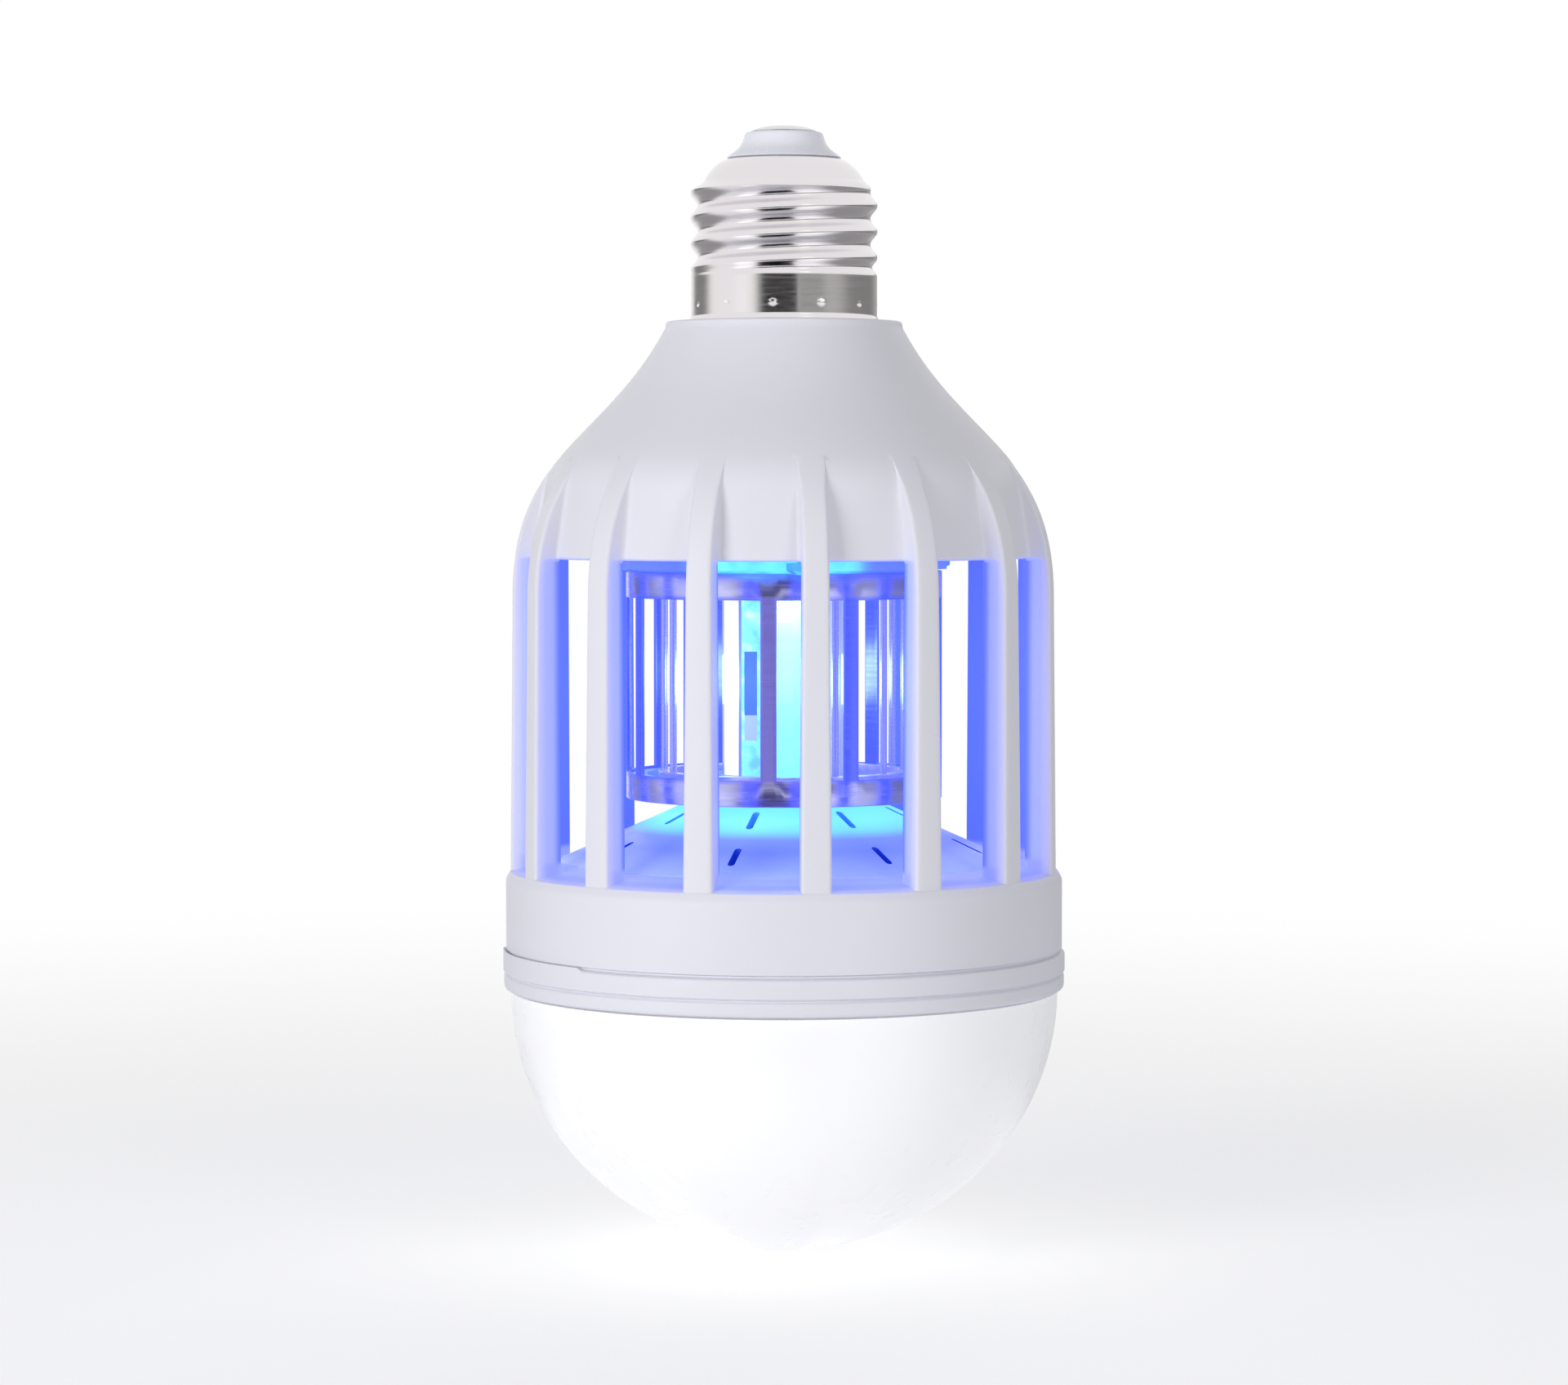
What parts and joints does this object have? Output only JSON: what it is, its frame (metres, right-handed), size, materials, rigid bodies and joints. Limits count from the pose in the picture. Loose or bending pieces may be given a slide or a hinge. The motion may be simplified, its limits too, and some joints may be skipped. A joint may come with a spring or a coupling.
{
  "type": "insect killer light bulb",
  "caption": "Screw-cap bulb with a ribbed cage round a lit electric insect grid and violet lamp, above a white lamp under a milky dome.",
  "frame": {"origin": "centre of the flat face of the cap's end contact, on the bulb's axis", "axes": "+Z along the bulb's axis, out of the end contact; the bulb hangs below it towards -Z; -Y is the side that the picture shows"},
  "size_m": [0.0794, 0.0794, 0.1584],
  "materials": {
    "white_plastic": "satin moulded white plastic",
    "nickel": "bright nickel plate",
    "cap_insulator": "glossy bluish-white insulator",
    "grid_steel": "bright stamped steel",
    "steel": "zinc-plated screw steel",
    "aluminium": "pressed sheet",
    "milky_diffuser": "milky translucent, lit from inside",
    "clear_tube": "clear tube",
    "lamp_board": "white solder mask",
    "driver_board": "green solder mask",
    "violet_chip": "violet-blue lamp chip",
    "white_chip": "phosphor lamp chip",
    "dark_plastic": "black moulding",
    "orange_film": "dipped film capacitor",
    "winding_tape": "yellow winding tape",
    "red_wire": "red wire sleeve",
    "black_wire": "black wire sleeve"
  },
  "bodies": {
    "root": {"centre_contact": "nickel", "cap_insulator": "cap_insulator", "screw_shell": "nickel", "live_lead": "red_wire", "neutral_lead": "black_wire", "cage_housing": "white_plastic", "driver_board": "driver_board", "transformer": "winding_tape", "film_capacitor": "orange_film", "electrolytic_capacitor": "dark_plastic", "bridge_rectifier": "dark_plastic", "fuse_resistor": "lamp_board", "grid_holder_upper": "white_plastic", "holder_screw_1": "steel", "holder_screw_2": "steel", "holder_screw_3": "steel", "outer_grid": "grid_steel", "inner_grid": "grid_steel", "grid_lead_outer": "red_wire", "grid_lead_inner": "black_wire", "uv_tube": "clear_tube", "uv_board": "lamp_board", "uv_led_1": "violet_chip", "uv_led_2": "violet_chip", "uv_led_3": "violet_chip", "uv_led_4": "violet_chip", "uv_led_5": "violet_chip", "uv_led_6": "violet_chip", "grid_holder_lower": "white_plastic", "insect_tray": "white_plastic", "lamp_ring": "white_plastic", "heat_sink": "aluminium", "lamp_board": "lamp_board", "board_screw_1": "steel", "board_screw_2": "steel", "board_screw_3": "steel", "lamp_lead_live": "red_wire", "lamp_lead_neutral": "black_wire", "diffuser": "milky_diffuser", "white_led_01": "white_chip", "white_led_02": "white_chip", "white_led_03": "white_chip", "white_led_04": "white_chip", "white_led_05": "white_chip", "white_led_06": "white_chip", "white_led_07": "white_chip", "white_led_08": "white_chip", "white_led_09": "white_chip", "white_led_10": "white_chip", "white_led_11": "white_chip", "white_led_12": "white_chip"}
  },
  "joints": []
}
